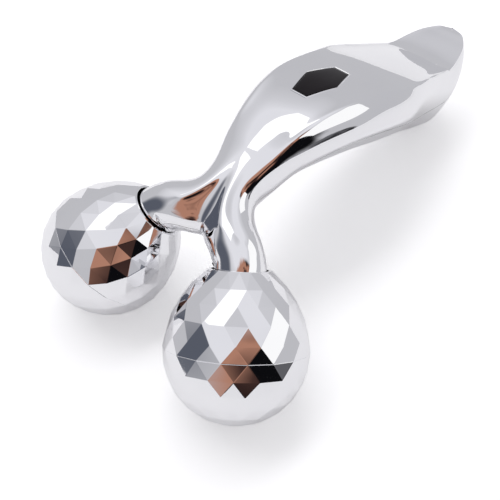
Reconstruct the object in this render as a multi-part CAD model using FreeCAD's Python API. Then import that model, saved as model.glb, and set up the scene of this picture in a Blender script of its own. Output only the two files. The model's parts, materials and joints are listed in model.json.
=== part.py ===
import FreeCAD, Part
import math
import os

from FreeCAD import Placement, Rotation, Vector

# A two-ball massage roller: faceted ball rollers on a wishbone fork, and a hollow arched handle.
# Lengths are in millimetres and angles in degrees.
# X runs along the handle from the balls to the tail, Y across, Z up.

# Ball rollers
ball_diameter = 42.0
ball_spacing = 54.8
axle_tilt = 42.0
axle_toe = 38.0
ball_wall = 2.4
mouth_diameter = 16.4
facets_round = 19
left_spin = 6.0
right_spin = 11.5
# Facet rows from the seam to the outer pole: place along the axle and radius, as shares of the ball radius.
outer_row_shares = [
    (0.04, 1.0),
    (-0.185, 0.983),
    (-0.39, 0.921),
    (-0.585, 0.811),
    (-0.755, 0.656),
    (-0.885, 0.466),
    (-0.965, 0.262),
]
# Facet rows from the seam to the rim of the mouth, the longer and leaner end.
inner_row_shares = [(0.04, 1.0), (0.245, 0.968), (0.48, 0.898), (0.705, 0.782), (0.9, 0.64), (1.1, 0.43)]
# A facet's flat lies nearer the centre than its corners.
facet_inset_share = 0.975

# Running gear inside each ball
axle_diameter = 5.0
axle_grip = 12.0
axle_overhang = 1.4
hub_diameter = 11.0
hub_length = 22.0
flange_thickness = 3.0
flange_step = 1.0
bush_diameter = 8.0
bush_length = 7.0
bush_flange_diameter = 10.4
bush_flange_thickness = 1.0
washer_diameter = 12.0
washer_thickness = 1.0
clip_diameter = 8.6
clip_thickness = 0.8
clip_mouth_angle = 70.0
groove_depth = 0.6
end_play = 0.2
running_clearance = 0.03
fit_clearance = 0.05

# Fork
arm_diameter = 14.9
arm_straight = 0.5
arm_lead = 5.0
neck_lead = 11.0
neck_slope = 20.0
arm_ring_shares = [0.0, 0.3, 0.6, 0.85]
arm_growth_share = 0.25
fork_share = 0.6
# Angles round an arm, from its crown: the crown between the creases, then round the underside.
ring_top_angles = [45.0, 41.0, 27.0, 0.0, -27.0, -41.0, -45.0]
ring_hull_angles = [-45.0, -90.0, -135.0, -180.0, -225.0, -270.0, -315.0]

# Handle
handle_length = 159.2
handle_width = 34.0
handle_height = 63.0
shell_wall = 2.6
# Sections along the handle: place as a share of the length, half width at the crease as a share of the half
# width, heights of the crease, the crown and the keel as shares of the height, bulge of the flank as a share of
# the half width, and how far the top goes from a shallow arch to a full round.
section_shares = [
    (0.195, 0.471, 0.829, 0.873, 0.540, 1.06, 0.7),
    (0.226, 0.559, 0.884, 0.924, 0.603, 1.10, 0.5),
    (0.264, 0.618, 0.937, 0.967, 0.635, 1.14, 0.4),
    (0.314, 0.676, 0.979, 0.997, 0.625, 1.18, 0.2),
    (0.377, 0.765, 0.987, 0.995, 0.590, 1.20, 0.0),
    (0.440, 0.841, 0.965, 0.975, 0.549, 1.20, 0.0),
    (0.509, 0.900, 0.914, 0.927, 0.483, 1.18, 0.0),
    (0.584, 0.988, 0.833, 0.849, 0.406, 1.15, 0.1),
    (0.634, 1.000, 0.776, 0.794, 0.337, 1.12, 0.3),
    (0.691, 0.941, 0.714, 0.733, 0.248, 1.10, 0.5),
    (0.747, 0.871, 0.657, 0.675, 0.165, 1.10, 0.5),
    (0.804, 0.812, 0.605, 0.616, 0.092, 1.12, 0.4),
    (0.842, 0.765, 0.579, 0.586, 0.048, 1.14, 0.3),
    (0.867, 0.729, 0.571, 0.575, 0.022, 1.18, 0.2),
    (0.892, 0.688, 0.568, 0.570, 0.008, 1.20, 0.0),
    (0.930, 0.582, 0.567, 0.567, 0.022, 1.20, 0.0),
    (0.955, 0.482, 0.567, 0.567, 0.060, 1.22, 0.0),
    (0.974, 0.376, 0.565, 0.565, 0.121, 1.25, 0.0),
    (0.989, 0.247, 0.562, 0.562, 0.206, 1.40, 0.0),
    (1.000, 0.059, 0.556, 0.554, 0.333, 2.60, 0.0),
]
# The flank below the crease: share of the half width and share of the way down to the keel.
flank_shares = [(1.0, 0.22), (0.7, 0.8)]
# Places across the top where its arch is set, as shares of the half width.
arch_shares = [0.92, 0.6]
# The hollow runs through the sections between these shares of the length.
hollow_shares = (0.22, 0.93)
# The parting line between the shells, behind the fork: shares of the length and of the height.
parting_shares = [
    (0.241, 0.738),
    (0.332, 0.760),
    (0.416, 0.730),
    (0.488, 0.679),
    (0.573, 0.587),
    (0.717, 0.429),
    (0.844, 0.333),
    (0.923, 0.349),
    (0.974, 0.405),
    (1.030, 0.492),
]

# Window and electrics
window_length = 21.5
window_width = 11.4
window_end_width = 5.4
window_thickness = 1.2
window_ledge = 1.3
window_place_share = 0.434
window_sink = 0.15
cell_thickness = 1.0
lead_diameter = 1.2
terminal_diameter = 4.4
terminal_thickness = 1.2
duct_diameter = 5.6
duct_knuckle_diameter = 6.2
lead_bend_radius = 2.0
lead_spacing = 3.6
lead_place = 5.0
lead_drop = 6.0
contact_place_share = 0.598
contact_length = 9.0
contact_width = 6.0
contact_thickness = 0.5
boss_margin = 1.0
boss_depth = 2.0

overrun = 5.0
join_tolerance = 0.02

# Worked-out sizes
ball_radius = ball_diameter / 2
mouth_reach = inner_row_shares[-1][0] * ball_radius
cavity_radius = facet_inset_share * ball_radius - ball_wall
arm_end = hub_length / 2 + bush_flange_thickness + end_play + washer_thickness
axle_end = arm_end + axle_grip
bush_face = hub_length / 2 + bush_flange_thickness
groove_start = bush_face + end_play
handle_half_width = handle_width / 2
crown_column = 3
keel_column = 4


def solid_from_faces(faces):
    """Close a set of flat faces into one solid that points outwards."""
    solid = Part.Solid(Part.Shell(faces))
    if solid.Volume < 0:
        solid.reverse()
    return solid


def cylinder_along(start, end, diameter):
    """A round bar along the local axle from one place to the other."""
    return Part.makeCylinder(diameter / 2, end - start, Vector(0, 0, start))


def tube_along(start, end, outside, bore):
    """A round tube along the local axle."""
    return cylinder_along(start, end, outside).cut(cylinder_along(start, end, bore))


def axle_direction(side):
    """The direction from a ball's centre up its axle to the fork; side is +1 on the left and -1 on the right."""
    level = math.cos(math.radians(axle_tilt))
    toe = math.radians(axle_toe)
    return Vector(level * math.cos(toe), -side * level * math.sin(toe), math.sin(math.radians(axle_tilt)))


def ball_centre(side):
    """The centre of a ball that rests on the floor."""
    return Vector(0, side * ball_spacing / 2, ball_radius)


def roller_place(side):
    """The placement of a roller: local Z up the axle and local X as near upright as it can be."""
    axis = axle_direction(side)
    upright = Vector(0, 0, 1) - axis * axis.z
    across = axis.cross(upright)
    return Placement(ball_centre(side), Rotation(upright, across, axis, "ZXY"))


def facet_rows(row_shares, spin):
    """The corners of each facet row; every second row is turned by half a facet."""
    step = 360.0 / facets_round
    rows = []
    for index, (along_share, radius_share) in enumerate(row_shares):
        radius = radius_share * ball_radius
        turn = spin + step * (index % 2) / 2
        angles = [math.radians(turn + step * corner) for corner in range(facets_round)]
        height = along_share * ball_radius
        rows.append([Vector(radius * math.cos(angle), radius * math.sin(angle), height) for angle in angles])
    return rows


def flat_face(corners):
    """A flat face with straight edges."""
    return Part.Face(Part.makePolygon(corners + corners[:1]))


def facet_strip(lower, upper, ahead):
    """The ring of triangles between two rows; ahead says which way the upper row is turned."""
    faces = []
    count = len(lower)
    for corner in range(count):
        following = (corner + 1) % count
        if ahead:
            faces.append(flat_face([lower[corner], lower[following], upper[corner]]))
            faces.append(flat_face([upper[corner], upper[following], lower[following]]))
        else:
            faces.append(flat_face([lower[corner], lower[following], upper[following]]))
            faces.append(flat_face([upper[corner], upper[following], lower[corner]]))
    return faces


def faceted_half(row_shares, spin):
    """One solid half of a faceted ball, from the seam to its end."""
    rows = facet_rows(row_shares, spin)
    faces = [flat_face(rows[0]), flat_face(rows[-1])]
    for index in range(len(rows) - 1):
        faces += facet_strip(rows[index], rows[index + 1], index % 2 == 0)
    return solid_from_faces(faces)


def ball_hollow():
    """The space inside a ball, with the rabbet that holds the flange of the hub."""
    room = Part.makeSphere(cavity_radius)
    rabbet_diameter = 2 * (cavity_radius + flange_step + fit_clearance)
    return room.fuse(cylinder_along(-flange_thickness / 2, flange_thickness / 2, rabbet_diameter))


def ball_outer_half(spin):
    """The closed half shell."""
    return faceted_half(outer_row_shares, spin).cut(ball_hollow())


def ball_inner_half(spin):
    """The half shell with the mouth that the arm of the fork enters."""
    mouth = cylinder_along(0, mouth_reach + overrun, mouth_diameter)
    return faceted_half(inner_row_shares, spin).cut(ball_hollow()).cut(mouth)


def hub():
    """The core of a roller: a sleeve for the bushes, with a flange clamped between the half shells."""
    flange_diameter = 2 * (cavity_radius + flange_step)
    sleeve = cylinder_along(-hub_length / 2, hub_length / 2, hub_diameter)
    flange = cylinder_along(-flange_thickness / 2, flange_thickness / 2, flange_diameter)
    bore = cylinder_along(-hub_length, hub_length, bush_diameter + 2 * fit_clearance)
    return sleeve.fuse(flange).cut(bore)


def bush(direction):
    """A flanged bush in one end of the hub."""
    hub_face = hub_length / 2
    bore = axle_diameter + 2 * running_clearance
    barrel = tube_along(hub_face - bush_length, hub_face, bush_diameter, bore)
    flange = tube_along(hub_face, bush_face, bush_flange_diameter, bore)
    whole = barrel.fuse(flange).removeSplitter()
    if direction < 0:
        whole.rotate(Vector(0, 0, 0), Vector(1, 0, 0), 180)
    return whole


def axle():
    """The steel pin, with a groove for the clip near its free end."""
    free_end = groove_start + clip_thickness + axle_overhang
    pin = cylinder_along(-free_end, axle_end, axle_diameter)
    groove = tube_along(
        -groove_start - clip_thickness, -groove_start, axle_diameter + overrun, axle_diameter - 2 * groove_depth
    )
    return pin.cut(groove)


def thrust_washer():
    """The washer on the end face of the arm."""
    return tube_along(arm_end - washer_thickness, arm_end, washer_diameter, axle_diameter + 2 * fit_clearance)


def retaining_clip():
    """An open ring in the groove of the axle."""
    bore = axle_diameter - 2 * groove_depth + 2 * fit_clearance
    ring = tube_along(-groove_start - clip_thickness, -groove_start, clip_diameter, bore)
    opening = Part.makeCylinder(
        clip_diameter,
        clip_thickness + 2 * overrun,
        Vector(0, 0, -groove_start - clip_thickness - overrun),
        Vector(0, 0, 1),
        clip_mouth_angle,
    )
    return ring.cut(opening)


def terminal():
    """The brass tab on the inner end of the axle."""
    return cylinder_along(axle_end, axle_end + terminal_thickness, terminal_diameter)


def fork_point():
    """The place on the middle plane where the ducts of the two arms meet."""
    bend = arm_curve(1).value(fork_share)
    return Vector(bend.x, 0, bend.z)


def neck_point():
    """The middle of the section where the two arms have become the handle."""
    return middle_of_section(section_shares[0][0] * handle_length)


def arm_curve(side):
    """The bend of an arm's centre line, from just outside the mouth of the ball to the neck of the handle."""
    axis = axle_direction(side)
    slope = math.radians(neck_slope)
    neck_direction = Vector(math.cos(slope), 0, math.sin(slope))
    start = ball_centre(side) + axis * (mouth_reach + arm_straight)
    curve = Part.BezierCurve()
    curve.setPoles([start, start + axis * arm_lead, neck_point() - neck_direction * neck_lead, neck_point()])
    return curve


def ring_wire(centre, facing, half_width, half_height):
    """A closed oval round a centre line, in two stretches like a section of the handle."""
    across = Vector(0, 0, 1).cross(facing).normalize()
    upright = facing.cross(across)

    def place(angle):
        turn = math.radians(angle)
        return centre + across * half_width * math.sin(turn) + upright * half_height * math.cos(turn)

    top = Part.BSplineCurve()
    top.interpolate([place(angle) for angle in ring_top_angles])
    hull = Part.BSplineCurve()
    hull.interpolate([place(angle) for angle in ring_hull_angles])
    return Part.Wire([top.toShape(), hull.toShape()])


def left_arm():
    """The left arm, from its end face inside the ball to the neck, kept to its own side of the middle plane."""
    axis = axle_direction(1)
    radius = arm_diameter / 2
    curve = arm_curve(1)
    straight_middle = (arm_end + mouth_reach + arm_straight) / 2
    wires = [ring_wire(ball_centre(1) + axis * reach, axis, radius, radius) for reach in (arm_end, straight_middle)]
    for share in arm_ring_shares:
        facing = Vector(*curve.tangent(share)[0])
        facing.z *= 1 - share
        growth = 1 + share * arm_growth_share
        wires.append(ring_wire(curve.value(share), facing.normalize(), radius, radius * growth))
    wires.append(section_wire(section_shares[0]))
    own_side = Part.makeBox(2 * handle_length, ball_spacing, 2 * handle_height, Vector(-handle_length, 0, 0))
    return Part.makeLoft(wires, True).common([own_side], join_tolerance)


def rounded_path(points, radius):
    """A wire of straight runs with an arc of one radius at every corner."""
    edges = []
    here = points[0]
    for before, corner, after in zip(points, points[1:], points[2:]):
        arriving = (corner - before).normalize()
        leaving = (after - corner).normalize()
        turn = arriving.getAngle(leaving)
        setback = radius * math.tan(turn / 2)
        enter = corner - arriving * setback
        leave = corner + leaving * setback
        inward = (leaving - arriving).normalize()
        middle = corner + inward * radius * (1 / math.cos(turn / 2) - 1)
        edges.append(Part.LineSegment(here, enter).toShape())
        edges.append(Part.Arc(enter, middle, leave).toShape())
        here = leave
    edges.append(Part.LineSegment(here, points[-1]).toShape())
    return Part.Wire(edges)


def round_bar(points, diameter, radius):
    """A round bar swept along a path of straight runs and arcs."""
    path = rounded_path(points, radius)
    facing = (points[1] - points[0]).normalize()
    ring = Part.Wire(Part.Circle(points[0], facing, diameter / 2).toShape())
    return path.makePipeShell([ring], True, False)


def section_sizes(shares, inset):
    """The place, half width and heights of one section, drawn in by a wall."""
    place_share, width_share, crease_share, crown_share, keel_share = shares[:5]
    half_width = width_share * handle_half_width - inset
    crease = crease_share * handle_height - inset
    crown = crown_share * handle_height - inset
    keel = keel_share * handle_height + inset
    return place_share * handle_length, half_width, crease, crown, keel


def arch_rise_share(across_share, roundness):
    """How far up the arch of the top is at a place across it, between a shallow arch and a full round."""
    shallow = 1 - across_share**2
    return (1 - roundness) * shallow + roundness * math.sqrt(shallow)


def section_wire(shares, inset=0):
    """One closed section: an arched top between the creases and a hull below them."""
    place, half_width, crease, crown, keel = section_sizes(shares, inset)
    flank_share, roundness = shares[5:]
    left = Vector(place, half_width, crease)
    right = Vector(place, -half_width, crease)
    rises = [arch_rise_share(share, roundness) * (crown - crease) for share in arch_shares]
    arch = [(share * half_width, crease + rise) for share, rise in zip(arch_shares, rises)]
    rising = [Vector(place, across, height) for across, height in arch]
    falling = [Vector(place, -across, height) for across, height in reversed(arch)]
    top = Part.BSplineCurve()
    top.interpolate([left] + rising + [Vector(place, 0, crown)] + falling + [right])
    flank = [(width * flank_share * half_width, crease - drop * (crease - keel)) for width, drop in flank_shares]
    down = [Vector(place, -across, height) for across, height in flank]
    up = [Vector(place, across, height) for across, height in reversed(flank)]
    hull = Part.BSplineCurve()
    hull.interpolate([right] + down + [Vector(place, 0, keel)] + up + [left])
    return Part.Wire([top.toShape(), hull.toShape()])


def handle_solid():
    """The outside of the handle, lofted through its sections."""
    return Part.makeLoft([section_wire(shares) for shares in section_shares], True)


def hollow_sections():
    """The sections that the hollow runs through."""
    start, end = hollow_shares
    return [shares for shares in section_shares if start <= shares[0] <= end]


def handle_hollow(wall):
    """The space inside the handle, under a wall."""
    return Part.makeLoft([section_wire(shares, wall) for shares in hollow_sections()], True)


def section_value(place, column):
    """A height of the handle at one place, read between the two nearest sections; the column picks which."""
    for front, rear in zip(section_shares, section_shares[1:]):
        start = front[0] * handle_length
        end = rear[0] * handle_length
        if start <= place <= end:
            blend = (place - start) / (end - start)
            return handle_height * (front[column] + blend * (rear[column] - front[column]))
    raise ValueError("no section at this place")


def middle_of_section(place):
    """The point half way between the keel and the crown at one place."""
    return Vector(place, 0, (section_value(place, crown_column) + section_value(place, keel_column)) / 2)


def body_solid():
    """The outside of the handle and the fork as one form."""
    left = left_arm()
    right = left.mirror(Vector(0, 0, 0), Vector(0, 1, 0))
    return handle_solid().fuse([left, right], join_tolerance)


def lead_start(side):
    """The outer face of the terminal on the end of an axle."""
    return ball_centre(side) + axle_direction(side) * (axle_end + terminal_thickness)


def duct_end():
    """A place inside the hollow, on the way from the fork to the window."""
    return middle_of_section(hollow_sections()[1][0] * handle_length)


def bar_between(start, end, diameter):
    """A straight round bar between two points."""
    along = end - start
    return Part.makeCylinder(diameter / 2, along.Length, start, along)


def fork_hollow():
    """The bores for the axles and terminals, and the ducts for the leads."""
    knuckle_radius = duct_knuckle_diameter / 2
    tools = [bar_between(fork_point(), duct_end(), duct_diameter), Part.makeSphere(knuckle_radius, fork_point())]
    for side in (1, -1):
        bore = cylinder_along(arm_end - overrun, axle_end, axle_diameter + 2 * fit_clearance)
        pocket = cylinder_along(axle_end, axle_end + terminal_thickness, terminal_diameter + 2 * fit_clearance)
        for tool in (bore, pocket):
            tool.Placement = roller_place(side)
            tools.append(tool)
        tools.append(Part.makeSphere(knuckle_radius, lead_start(side)))
        tools.append(bar_between(lead_start(side), fork_point(), duct_diameter))
    return tools


def below_parting():
    """A block that holds everything under the parting line of the shells."""
    curve = arm_curve(1)
    flat = [Vector(point.x, 0, point.z) for point in (ball_centre(1), curve.value(0), fork_point())]
    shares = [Vector(place * handle_length, 0, height * handle_height) for place, height in parting_shares]
    curve = Part.BSplineCurve()
    curve.interpolate(Points=[flat[2]] + shares, InitialTangent=flat[2] - flat[1])
    floor_end = Vector(shares[-1].x, 0, -overrun)
    floor_start = Vector(flat[0].x, 0, -overrun)
    edges = [Part.LineSegment(flat[0], flat[1]).toShape(), Part.LineSegment(flat[1], flat[2]).toShape()]
    edges.append(curve.toShape())
    for begin, end in ((shares[-1], floor_end), (floor_end, floor_start), (floor_start, flat[0])):
        edges.append(Part.LineSegment(begin, end).toShape())
    face = Part.Face(Part.Wire(edges))
    face.translate(Vector(0, -ball_spacing, 0))
    return face.extrude(Vector(0, 2 * ball_spacing, 0))


def window_place():
    """The placement of the window: local X back along the handle and local Z out of its top."""
    middle = window_place_share * handle_length
    front = middle - window_length / 2
    rear = middle + window_length / 2
    front_point = Vector(front, 0, section_value(front, crown_column))
    rear_point = Vector(rear, 0, section_value(rear, crown_column))
    along = rear_point - front_point
    across = Vector(0, 1, 0)
    rotation = Rotation(along, across, along.cross(across), "YXZ")
    return Placement((front_point + rear_point) / 2, rotation)


def six_sided_plate(inset, top, thickness):
    """A plate of the window's outline, drawn in all round, with its top at a local height."""
    half_length = window_length / 2 - inset
    half_width = window_width / 2 - inset
    half_end = window_end_width / 2 - inset / 2
    base = top - thickness
    corners = [
        Vector(-half_length, -half_end, base),
        Vector(0, -half_width, base),
        Vector(half_length, -half_end, base),
        Vector(half_length, half_end, base),
        Vector(0, half_width, base),
        Vector(-half_length, half_end, base),
    ]
    plate = flat_face(corners).extrude(Vector(0, 0, thickness))
    plate.Placement = window_place()
    return plate


def solar_window():
    """The dark pane in the top of the handle."""
    return six_sided_plate(fit_clearance, -window_sink, window_thickness)


def solar_cell():
    """The cell bonded to the back of the pane."""
    return six_sided_plate(window_ledge + fit_clearance, -window_sink - window_thickness, cell_thickness)


def window_cuts():
    """The pocket that the pane sits in, and the opening under it."""
    pocket = six_sided_plate(0, overrun, overrun + window_sink + window_thickness)
    opening = six_sided_plate(window_ledge, 0, overrun)
    return [pocket, opening]


def cell_back(place, across):
    """A point on the back of the cell."""
    drop = window_sink + window_thickness + cell_thickness
    return window_place().multVec(Vector(place, across, -drop))


def inward():
    """The direction from the window into the handle."""
    return window_place().Rotation.multVec(Vector(0, 0, -1))


def contact_point():
    """The middle of the flat boss in the roof of the hollow that the contact lies on."""
    place = contact_place_share * handle_length
    return Vector(place, 0, section_value(place, crown_column) - shell_wall - boss_depth)


def block_under(point, length, width, height):
    """A block whose top face is centred on a point."""
    return Part.makeBox(length, width, height, point - Vector(length / 2, width / 2, height))


def contact_boss():
    """The boss in the roof of the hollow, rooted in the middle of the shell's wall."""
    length = contact_length + 2 * boss_margin
    width = contact_width + 2 * boss_margin
    block = block_under(contact_point(), length, width, overrun)
    block.translate(Vector(0, 0, overrun))
    return block.common(handle_hollow(shell_wall / 2))


def handle_contact():
    """The brass plate that ties the cell to the plating of the handle."""
    return block_under(contact_point(), contact_length, contact_width, contact_thickness)


def roller_lead(side):
    """The lead from an axle's terminal through the fork to the cell."""
    start = lead_start(side)
    clear = axle_direction(side) * lead_bend_radius
    gap = Vector(0, side * lead_spacing / 2, 0)
    back = cell_back(-lead_place, side * lead_spacing / 2)
    return round_bar(
        [start, start + clear, fork_point() + gap, duct_end() + gap, back + inward() * lead_drop, back],
        lead_diameter,
        lead_bend_radius,
    )


def handle_lead():
    """The lead from the cell to the contact on the handle."""
    back = cell_back(lead_place, 0)
    rest = contact_point() - Vector(0, 0, contact_thickness)
    drop = Vector(0, 0, lead_drop)
    return round_bar([back, back + inward() * lead_drop, rest - drop, rest], lead_diameter, lead_bend_radius)


def shells():
    """The upper and lower shells of the handle and fork."""
    hollow = [handle_hollow(shell_wall)] + fork_hollow()
    whole = body_solid().cut(hollow)
    under = below_parting()
    lower = whole.common(under)
    upper = whole.cut(under).fuse(contact_boss()).cut(window_cuts())
    return upper.removeSplitter(), lower.removeSplitter()


def roller_pieces(spin):
    """The pieces of one roller and its running gear, in the roller's own frame."""
    return {
        "ball_outer_half": ball_outer_half(spin),
        "ball_inner_half": ball_inner_half(spin),
        "hub": hub(),
        "inner_bush": bush(1),
        "outer_bush": bush(-1),
        "axle": axle(),
        "thrust_washer": thrust_washer(),
        "retaining_clip": retaining_clip(),
        "terminal": terminal(),
    }


def all_pieces():
    """Every named piece, in place."""
    upper, lower = shells()
    pieces = {
        "upper_shell": upper,
        "lower_shell": lower,
        "solar_window": solar_window(),
        "solar_cell": solar_cell(),
        "handle_contact": handle_contact(),
        "handle_lead": handle_lead(),
    }
    for side, name, spin in ((1, "left", left_spin), (-1, "right", right_spin)):
        pieces[name + "_lead"] = roller_lead(side)
        for piece, shape in roller_pieces(spin).items():
            shape.Placement = roller_place(side).multiply(shape.Placement)
            pieces[name + "_" + piece] = shape
    return pieces


def settle(pieces):
    """Move the part so that its origin is under its middle, at the floor."""
    boxes = [shape.optimalBoundingBox(False) for shape in pieces.values()]
    middle = (min(box.XMin for box in boxes) + max(box.XMax for box in boxes)) / 2
    floor = min(box.ZMin for box in boxes)
    for shape in pieces.values():
        shape.translate(Vector(-middle, 0, -floor))


def main():
    """Build every piece and write it to its own file."""
    os.makedirs("parts", exist_ok=True)
    pieces = all_pieces()
    settle(pieces)
    for name, shape in pieces.items():
        shape.exportStep(os.path.join("parts", name + ".step"))


if __name__ == "__main__":
    main()
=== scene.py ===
"""The looks of a two-ball massage roller: mirror plating, faceted balls and a dark solar pane."""

import json
import logging
import math
from collections.abc import Callable
from dataclasses import dataclass, field
from enum import Enum
from typing import NamedTuple

import bmesh
import bpy
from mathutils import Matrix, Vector


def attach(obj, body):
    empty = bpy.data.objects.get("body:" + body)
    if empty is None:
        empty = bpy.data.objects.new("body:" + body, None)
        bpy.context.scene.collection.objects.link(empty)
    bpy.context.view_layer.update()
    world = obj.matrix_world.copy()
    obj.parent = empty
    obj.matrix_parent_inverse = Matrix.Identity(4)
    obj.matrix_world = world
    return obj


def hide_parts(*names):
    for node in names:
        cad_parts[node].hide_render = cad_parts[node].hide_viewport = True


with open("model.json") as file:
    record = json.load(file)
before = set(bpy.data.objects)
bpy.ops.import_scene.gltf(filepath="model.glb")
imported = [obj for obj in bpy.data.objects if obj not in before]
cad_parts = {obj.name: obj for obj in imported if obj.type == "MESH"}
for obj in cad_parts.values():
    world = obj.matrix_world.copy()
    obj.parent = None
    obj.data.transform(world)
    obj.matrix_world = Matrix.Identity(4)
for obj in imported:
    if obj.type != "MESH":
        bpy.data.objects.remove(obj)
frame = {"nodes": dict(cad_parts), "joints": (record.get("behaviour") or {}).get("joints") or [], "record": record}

MM = 0.001
log = logging.getLogger("roller")


class Side(Enum):
    """The two rollers, by the first word of their names."""

    LEFT = "left"
    RIGHT = "right"


class Section(NamedTuple):
    """One cross section of the handle: sizes in drawing millimetres, then shares that shape its sides."""

    place: float
    half_width: float
    crease: float
    crown: float
    keel: float
    bulge: float
    roundness: float
    sharpness: float


@dataclass(frozen=True)
class PartFrame:
    """Where the drawing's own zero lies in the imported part: under the middle of the two ball centres."""

    ball_spacing: float = 54.8
    ball_radius: float = 21.0

    def at(self, x: float, y: float, z: float) -> Vector:
        """Turn a drawing point into a point of the part.

        Args:
            x: Distance along the handle from the ball centres, in millimetres.
            y: Distance across, towards the left ball, in millimetres.
            z: Height above the floor, in millimetres.

        Returns:
            The point in the part's frame, in metres.
        """
        left = Vector(frame["joints"][0]["pos_m"])
        zero = left - self.left_ball() * MM
        return zero + Vector((x, y, z)) * MM

    def row(self, points: list[Vector]) -> list[Vector]:
        """Turn drawing points into points of the part."""
        return [self.at(*point) for point in points]

    def left_ball(self) -> Vector:
        """Centre of the left ball, in drawing millimetres."""
        return Vector((0.0, self.ball_spacing / 2, self.ball_radius))

    @staticmethod
    def direction(turn: float, rise: float) -> Vector:
        """A direction, by its turn from the tail towards the left ball and its rise, in degrees."""
        level = math.cos(math.radians(rise))
        turn = math.radians(turn)
        return Vector((level * math.cos(turn), level * math.sin(turn), math.sin(math.radians(rise))))


PLACE = PartFrame()


class Bench:
    """Small helpers for work with Blender's operators."""

    @staticmethod
    def clear() -> None:
        """Leave edit mode with nothing selected."""
        if bpy.context.object and bpy.context.object.mode != "OBJECT":
            bpy.ops.object.mode_set(mode="OBJECT")
        bpy.ops.object.select_all(action="DESELECT")

    @staticmethod
    def take(obj: bpy.types.Object) -> None:
        """Make one object the selected and active one."""
        Bench.clear()
        obj.select_set(True)
        bpy.context.view_layer.objects.active = obj

    @staticmethod
    def apply(obj: bpy.types.Object) -> None:
        """Apply every modifier of an object, in order."""
        Bench.take(obj)
        for modifier in list(obj.modifiers):
            bpy.ops.object.modifier_apply(modifier=modifier.name)

    @staticmethod
    def modifier(kind: str) -> bpy.types.Modifier:
        """Add a modifier to the active object."""
        bpy.ops.object.modifier_add(type=kind)
        return bpy.context.object.modifiers[-1]

    @staticmethod
    def ring(name: str, count: int) -> bpy.types.Object:
        """Start a piece as a ring of numbered points, all selected in edit mode.

        Args:
            name: Name of the piece.
            count: How many points the ring has.

        Returns:
            The piece.
        """
        Bench.clear()
        bpy.ops.mesh.primitive_circle_add(vertices=count, radius=MM)
        piece = bpy.context.object
        piece.name = name
        bpy.ops.object.mode_set(mode="EDIT")
        bpy.ops.mesh.select_mode(type="EDGE")
        bpy.ops.mesh.select_all(action="SELECT")
        mesh = bmesh.from_edit_mesh(piece.data)
        station = mesh.verts.layers.int.new("station")
        for index, vert in enumerate(mesh.verts):
            vert[station] = index
        bmesh.update_edit_mesh(piece.data)
        return piece

    @staticmethod
    def set_row(piece: bpy.types.Object, row: list[Vector]) -> None:
        """Put the selected points of a piece in edit mode on a row, by their numbers."""
        mesh = bmesh.from_edit_mesh(piece.data)
        station = mesh.verts.layers.int["station"]
        for vert in mesh.verts:
            if vert.select:
                vert.co = row[vert[station]]
        bmesh.update_edit_mesh(piece.data)

    @staticmethod
    def draw_out(piece: bpy.types.Object, rows: list[list[Vector]]) -> None:
        """Extrude the selected edges of a piece in edit mode through rows of points."""
        for row in rows:
            bpy.ops.mesh.extrude_edges_indiv()
            Bench.set_row(piece, row)

    @staticmethod
    def pick_edges(piece: bpy.types.Object, wanted: Callable[[bmesh.types.BMEdge], bool]) -> None:
        """Select only those edges of a piece in edit mode that pass a test."""
        bpy.ops.mesh.select_mode(type="EDGE")
        bpy.ops.mesh.select_all(action="DESELECT")
        mesh = bmesh.from_edit_mesh(piece.data)
        for edge in mesh.edges:
            edge.select_set(wanted(edge))
        bmesh.update_edit_mesh(piece.data)


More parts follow.
